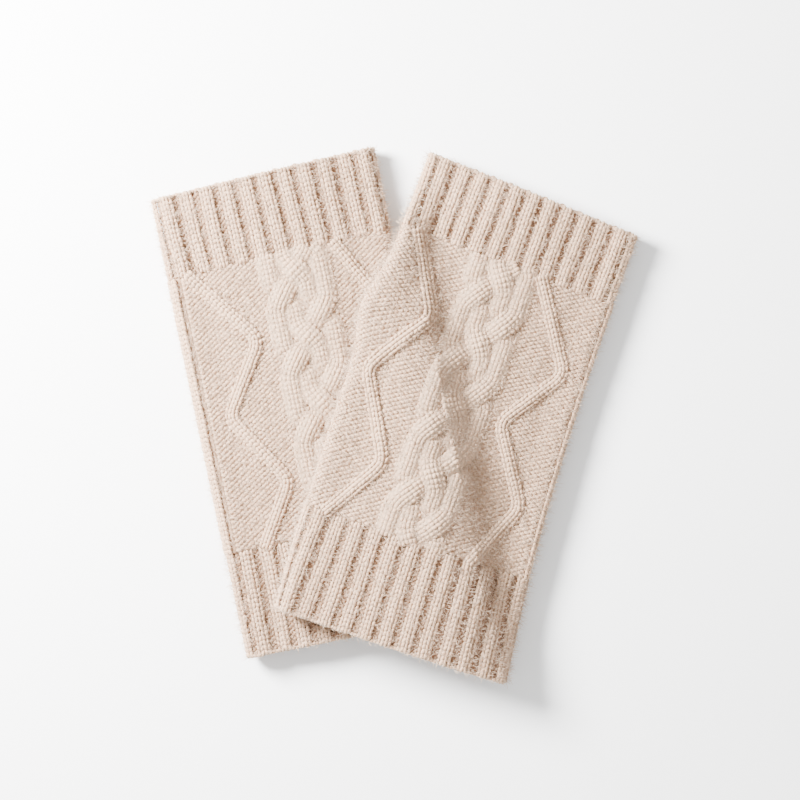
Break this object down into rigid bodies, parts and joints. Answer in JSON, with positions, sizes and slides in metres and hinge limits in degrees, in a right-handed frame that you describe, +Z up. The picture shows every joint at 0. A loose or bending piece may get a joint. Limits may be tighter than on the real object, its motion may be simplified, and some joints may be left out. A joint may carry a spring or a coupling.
{
  "type": "fingerless gloves",
  "caption": "Pair of cable-knit tubes for the hands, open at the fingers and wrist, laid flat in a fan with one glove draped over the other.",
  "frame": {"origin": "middle of the pair's box, on the surface it lies on", "axes": "+Z up from the surface, +Y from the wrist edges to the finger edges, +X to the right seen from above"},
  "size_m": [0.1915, 0.2068, 0.0241],
  "materials": {
    "rib_knit": "soft brushed knit",
    "ground_knit": "soft brushed knit",
    "cable_knit": "soft brushed knit",
    "edging_knit": "soft brushed knit",
    "linking_yarn": "soft yarn"
  },
  "bodies": {
    "lower_palm": {"lower_palm_finger_cuff": "rib_knit", "lower_palm_panel": "ground_knit", "lower_palm_wrist_cuff": "rib_knit", "lower_thumb_hole_edging": "edging_knit", "lower_thumb_side_fold": "rib_knit", "lower_outer_side_fold": "rib_knit", "lower_side_seam": "linking_yarn"},
    "lower_back": {"lower_back_finger_cuff": "rib_knit", "lower_back_panel": "ground_knit", "lower_back_wrist_cuff": "rib_knit", "lower_cable_braid": "cable_knit", "lower_outer_travelling_rib": "cable_knit", "lower_thumb_side_travelling_rib": "cable_knit"},
    "upper_palm": {"upper_palm_finger_cuff": "rib_knit", "upper_palm_panel": "ground_knit", "upper_palm_wrist_cuff": "rib_knit", "upper_thumb_hole_edging": "edging_knit", "upper_thumb_side_fold": "rib_knit", "upper_outer_side_fold": "rib_knit", "upper_side_seam": "linking_yarn"},
    "upper_back": {"upper_back_finger_cuff": "rib_knit", "upper_back_panel": "ground_knit", "upper_back_wrist_cuff": "rib_knit", "upper_cable_braid": "cable_knit", "upper_outer_travelling_rib": "cable_knit", "upper_thumb_side_travelling_rib": "cable_knit"}
  },
  "joints": [
    {"name": "lower_tube_opens", "type": "slide", "parent": "lower_palm", "child": "lower_back", "axis": [0, 0, 1], "range_m": [0, 0.02]},
    {"name": "upper_glove_lifts", "type": "slide", "parent": "lower_back", "child": "upper_palm", "axis": [0, 0, 1], "range_m": [0, 0.06]},
    {"name": "upper_tube_opens", "type": "slide", "parent": "upper_palm", "child": "upper_back", "axis": [0, 0, 1], "range_m": [0, 0.02]}
  ]
}
